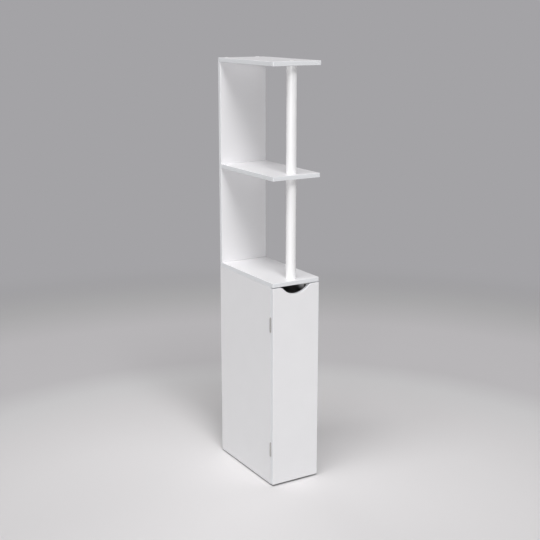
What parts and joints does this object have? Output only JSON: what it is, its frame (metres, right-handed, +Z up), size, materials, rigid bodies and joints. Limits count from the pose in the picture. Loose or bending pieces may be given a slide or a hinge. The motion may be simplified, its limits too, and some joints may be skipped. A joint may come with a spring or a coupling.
{
  "type": "toilet roll storage cabinet",
  "caption": "Slim white free-standing bathroom cabinet: a hinged-door cupboard below, open bays above with a full-width back panel and a round front post.",
  "frame": {"origin": "on the floor, midway between the two sides and midway between the door's face and the rear edges", "axes": "+Z up; -Y out of the door's face; +X to the right of someone who looks at the door"},
  "size_m": [0.1529, 0.3, 1.1904],
  "materials": {
    "white_lacquer": "satin white lacquer on fibreboard",
    "white_post": "satin white lacquer on turned wood",
    "white_hardboard": "white-faced thin hardboard",
    "zinc_alloy": "die-cast zinc",
    "hinge_nickel": "nickel-plated steel",
    "zinc_plated_steel": "zinc-plated steel",
    "white_plastic": "moulded white plastic",
    "white_film": "white self-adhesive film",
    "ferrite": "sintered ferrite",
    "beech": "plain beech"
  },
  "bodies": {
    "cabinet": {"top_board": "white_lacquer", "back_panel": "white_lacquer", "middle_shelf": "white_lacquer", "upper_post": "white_post", "lower_post": "white_post", "cabinet_top": "white_lacquer", "left_side": "white_lacquer", "right_side": "white_lacquer", "cabinet_bottom": "white_lacquer", "cabinet_back": "white_hardboard", "inner_shelf": "white_lacquer", "shelf_supports": "zinc_alloy", "upper_hinge_cabinet_leaf": "hinge_nickel", "upper_hinge_pin": "hinge_nickel", "lower_hinge_cabinet_leaf": "hinge_nickel", "lower_hinge_pin": "hinge_nickel", "hinge_cabinet_screws": "zinc_plated_steel", "catch_housing": "white_plastic", "catch_magnet": "ferrite", "catch_pole_plates": "zinc_plated_steel", "catch_screws": "zinc_plated_steel", "floor_glides": "white_plastic", "glide_nails": "zinc_plated_steel", "cam_locks": "zinc_alloy", "cam_bolts": "zinc_plated_steel", "side_dowels": "beech", "panel_dowels": "beech", "top_board_screws": "zinc_plated_steel", "screw_covers": "white_film", "panel_base_screws": "zinc_plated_steel", "middle_shelf_screws": "zinc_plated_steel", "post_stud": "zinc_plated_steel", "post_base_screw": "zinc_plated_steel"},
    "door": {"door": "white_lacquer", "upper_hinge_door_leaf": "hinge_nickel", "lower_hinge_door_leaf": "hinge_nickel", "hinge_door_screws": "zinc_plated_steel", "strike_plate": "zinc_plated_steel", "strike_screws": "zinc_plated_steel"}
  },
  "joints": [
    {"name": "door_hinge", "type": "hinge", "parent": "cabinet", "child": "door", "pos_m": [-0.0754, -0.13775, 0.2945], "axis": [0, 0, -1], "range_deg": [0, 180]}
  ]
}
